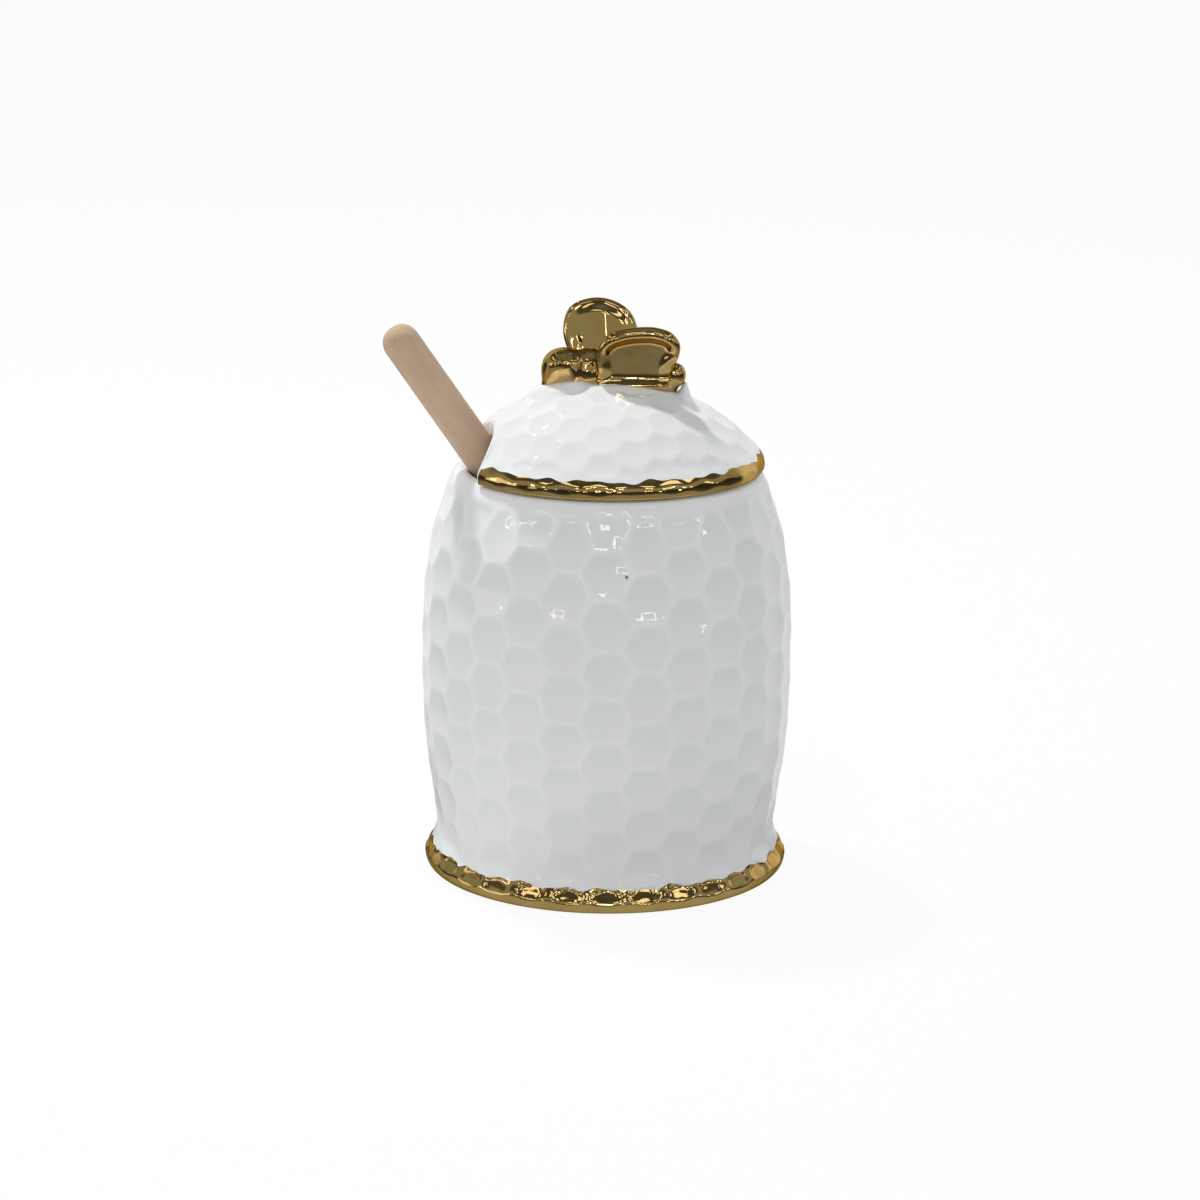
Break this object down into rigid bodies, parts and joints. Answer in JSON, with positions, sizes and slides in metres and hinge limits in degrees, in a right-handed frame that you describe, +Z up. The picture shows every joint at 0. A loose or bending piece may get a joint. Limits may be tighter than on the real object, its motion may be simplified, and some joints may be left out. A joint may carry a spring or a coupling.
{
  "type": "honey pot",
  "caption": "Barrel-shaped glazed ceramic honey pot with a domed lift-off lid, bee finial, notch for the handle and a wooden honey dipper.",
  "frame": {"origin": "centre of the flat underside of the foot", "axes": "+Z up along the pot's axis; the dipper's handle leans towards -X and the bee faces -X; -Y is the front, where the notch opens a little more"},
  "size_m": [0.1096, 0.1, 0.1541],
  "materials": {
    "porcelain": "high-gloss white glaze over a honeycomb relief",
    "gold_lustre": "mirror-bright gold lustre fired over the glaze",
    "bare_wood": "unvarnished, finely sanded"
  },
  "bodies": {
    "pot": {"pot_body": "porcelain", "pot_foot_rim": "gold_lustre"},
    "lid": {"lid_dome": "porcelain", "lid_rim": "gold_lustre", "bee_body": "gold_lustre", "bee_left_wing": "gold_lustre", "bee_right_wing": "gold_lustre"},
    "dipper": {"dipper_handle": "bare_wood", "dipper_head": "bare_wood"}
  },
  "joints": [
    {"name": "lid_lift", "type": "slide", "parent": "pot", "child": "lid", "axis": [0, 0, 1], "range_m": [0, 0.06]},
    {"name": "dipper_draw", "type": "slide", "parent": "pot", "child": "dipper", "axis": [-0.5601, -0.0787, 0.8247], "range_m": [0, 0.075]}
  ]
}
